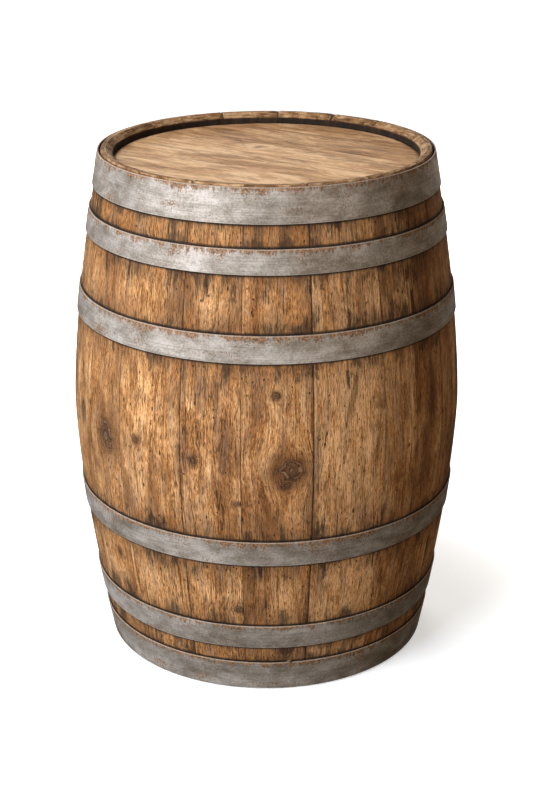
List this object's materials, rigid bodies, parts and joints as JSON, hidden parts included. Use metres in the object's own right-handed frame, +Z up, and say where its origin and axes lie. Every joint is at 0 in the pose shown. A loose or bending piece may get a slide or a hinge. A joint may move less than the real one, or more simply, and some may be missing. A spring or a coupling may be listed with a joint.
{
  "type": "wine barrel",
  "caption": "Upright oak cask of bent staves between two jointed heads, held by riveted steel hoops, with a tapered bung that pulls out of the bung stave at the back.",
  "frame": {"origin": "centre of the bottom rim, on the surface the barrel stands on", "axes": "+Z up along the barrel's own axis, from the bottom head to the top head; -Y is the front; the bung is at the back at half height, 6.5 degrees from +Y towards -X"},
  "size_m": [0.6878, 0.6946, 0.9],
  "materials": {
    "stave_oak": "weathered, rough, grimy beside the hoops",
    "head_oak": "planed, pale, dry",
    "hoop_steel": "galvanised, dulled, freckled with rust",
    "rivet_steel": "dull, rusty round the heads",
    "nail_steel": "rusted",
    "dowel_oak": "turned",
    "bung_wood": "turned, stained round its edge"
  },
  "bodies": {
    "barrel": {"stave_01": "stave_oak", "stave_02": "stave_oak", "stave_03": "stave_oak", "stave_04": "stave_oak", "stave_05": "stave_oak", "stave_06": "stave_oak", "stave_07": "stave_oak", "stave_08": "stave_oak", "stave_09": "stave_oak", "stave_10": "stave_oak", "stave_11": "stave_oak", "stave_12": "stave_oak", "stave_13": "stave_oak", "stave_14": "stave_oak", "stave_15": "stave_oak", "stave_16": "stave_oak", "stave_17": "stave_oak", "stave_18": "stave_oak", "stave_19": "stave_oak", "stave_20": "stave_oak", "bottom_head_hoop": "hoop_steel", "lower_quarter_hoop": "hoop_steel", "lower_bilge_hoop": "hoop_steel", "upper_bilge_hoop": "hoop_steel", "upper_quarter_hoop": "hoop_steel", "top_head_hoop": "hoop_steel", "bottom_head_hoop_rivets": "rivet_steel", "lower_quarter_hoop_rivets": "rivet_steel", "lower_bilge_hoop_rivets": "rivet_steel", "upper_bilge_hoop_rivets": "rivet_steel", "upper_quarter_hoop_rivets": "rivet_steel", "top_head_hoop_rivets": "rivet_steel", "top_head_board_1": "head_oak", "top_head_board_2": "head_oak", "top_head_board_3": "head_oak", "top_head_board_4": "head_oak", "top_head_board_5": "head_oak", "top_head_board_6": "head_oak", "bottom_head_board_1": "head_oak", "bottom_head_board_2": "head_oak", "bottom_head_board_3": "head_oak", "bottom_head_board_4": "head_oak", "bottom_head_board_5": "head_oak", "bottom_head_board_6": "head_oak", "top_head_dowels": "dowel_oak", "bottom_head_dowels": "dowel_oak", "hoop_nails": "nail_steel"},
    "bung": {"bung": "bung_wood"}
  },
  "joints": [
    {"name": "bung_pull", "type": "slide", "parent": "barrel", "child": "bung", "axis": [-0.1132, 0.9936, 0], "range_m": [0, 0.07]}
  ]
}
